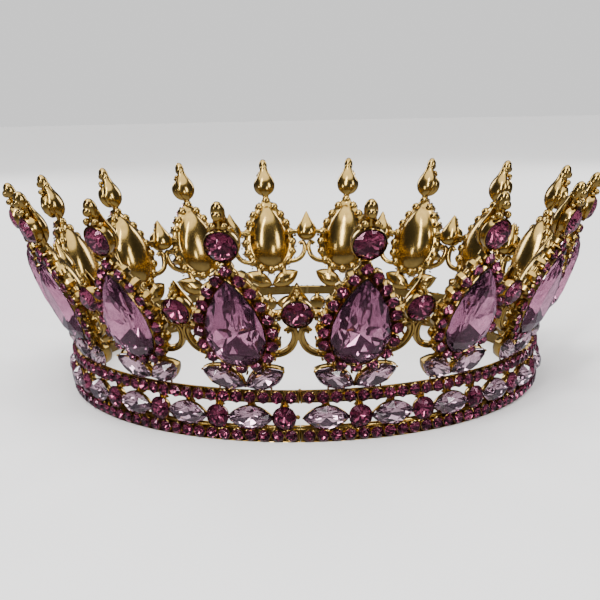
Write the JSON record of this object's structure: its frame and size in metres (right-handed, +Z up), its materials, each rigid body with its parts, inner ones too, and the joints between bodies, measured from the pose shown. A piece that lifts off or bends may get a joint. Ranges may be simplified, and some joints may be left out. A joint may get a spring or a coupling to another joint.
{
  "type": "crown",
  "caption": "Round full-circle crown: a beaded base band under leaning pear-shaped crystal settings, each topped by a round crystal and a small finial.",
  "frame": {"origin": "centre of the ring, on the plane its lower rail rests on", "axes": "+Z up the crown's axis, -Y towards the front seam, +X to the wearer's left of the front seam"},
  "size_m": [0.1758, 0.1758, 0.0604],
  "materials": {
    "gold_plate": "polished pale antique gold plating with brown shadows in the recesses",
    "solder": "satin gold-toned solder",
    "lilac_glass": "faceted foil-backed glass, dusty lilac pink",
    "rose_glass": "faceted foil-backed glass, deep rose",
    "pale_glass": "faceted foil-backed glass, pale pinkish grey"
  },
  "bodies": {
    "root": {"band_stone_row_left": "pale_glass", "band_stone_row_right": "pale_glass", "crest_round_crystal_01": "rose_glass", "crest_round_crystal_02": "rose_glass", "crest_round_crystal_03": "rose_glass", "crest_round_crystal_04": "rose_glass", "crest_round_crystal_05": "rose_glass", "crest_round_crystal_06": "rose_glass", "crest_round_crystal_07": "rose_glass", "crest_round_crystal_08": "rose_glass", "crest_round_crystal_09": "rose_glass", "crest_round_crystal_10": "rose_glass", "crest_round_crystal_11": "rose_glass", "crest_round_crystal_12": "rose_glass", "crest_round_crystal_13": "rose_glass", "crest_round_crystal_14": "rose_glass", "crest_round_crystal_15": "rose_glass", "crest_round_crystal_16": "rose_glass", "frame_half_left": "gold_plate", "frame_half_right": "gold_plate", "link_round_crystal_01": "rose_glass", "link_round_crystal_02": "rose_glass", "link_round_crystal_03": "rose_glass", "link_round_crystal_04": "rose_glass", "link_round_crystal_05": "rose_glass", "link_round_crystal_06": "rose_glass", "link_round_crystal_07": "rose_glass", "link_round_crystal_08": "rose_glass", "link_round_crystal_09": "rose_glass", "link_round_crystal_10": "rose_glass", "link_round_crystal_11": "rose_glass", "link_round_crystal_12": "rose_glass", "link_round_crystal_13": "rose_glass", "link_round_crystal_14": "rose_glass", "link_round_crystal_15": "rose_glass", "link_round_crystal_16": "rose_glass", "lower_small_stone_row_left": "rose_glass", "lower_small_stone_row_right": "rose_glass", "pear_crystal_01": "lilac_glass", "pear_crystal_02": "lilac_glass", "pear_crystal_03": "lilac_glass", "pear_crystal_04": "lilac_glass", "pear_crystal_05": "lilac_glass", "pear_crystal_06": "lilac_glass", "pear_crystal_07": "lilac_glass", "pear_crystal_08": "lilac_glass", "pear_crystal_09": "lilac_glass", "pear_crystal_10": "lilac_glass", "pear_crystal_11": "lilac_glass", "pear_crystal_12": "lilac_glass", "pear_crystal_13": "lilac_glass", "pear_crystal_14": "lilac_glass", "pear_crystal_15": "lilac_glass", "pear_crystal_16": "lilac_glass", "solder_back_lower": "solder", "solder_back_upper": "solder", "solder_front_lower": "solder", "solder_front_upper": "solder", "upper_small_stone_row_with_leaves_left": "rose_glass", "upper_small_stone_row_with_leaves_right": "rose_glass"}
  },
  "joints": []
}
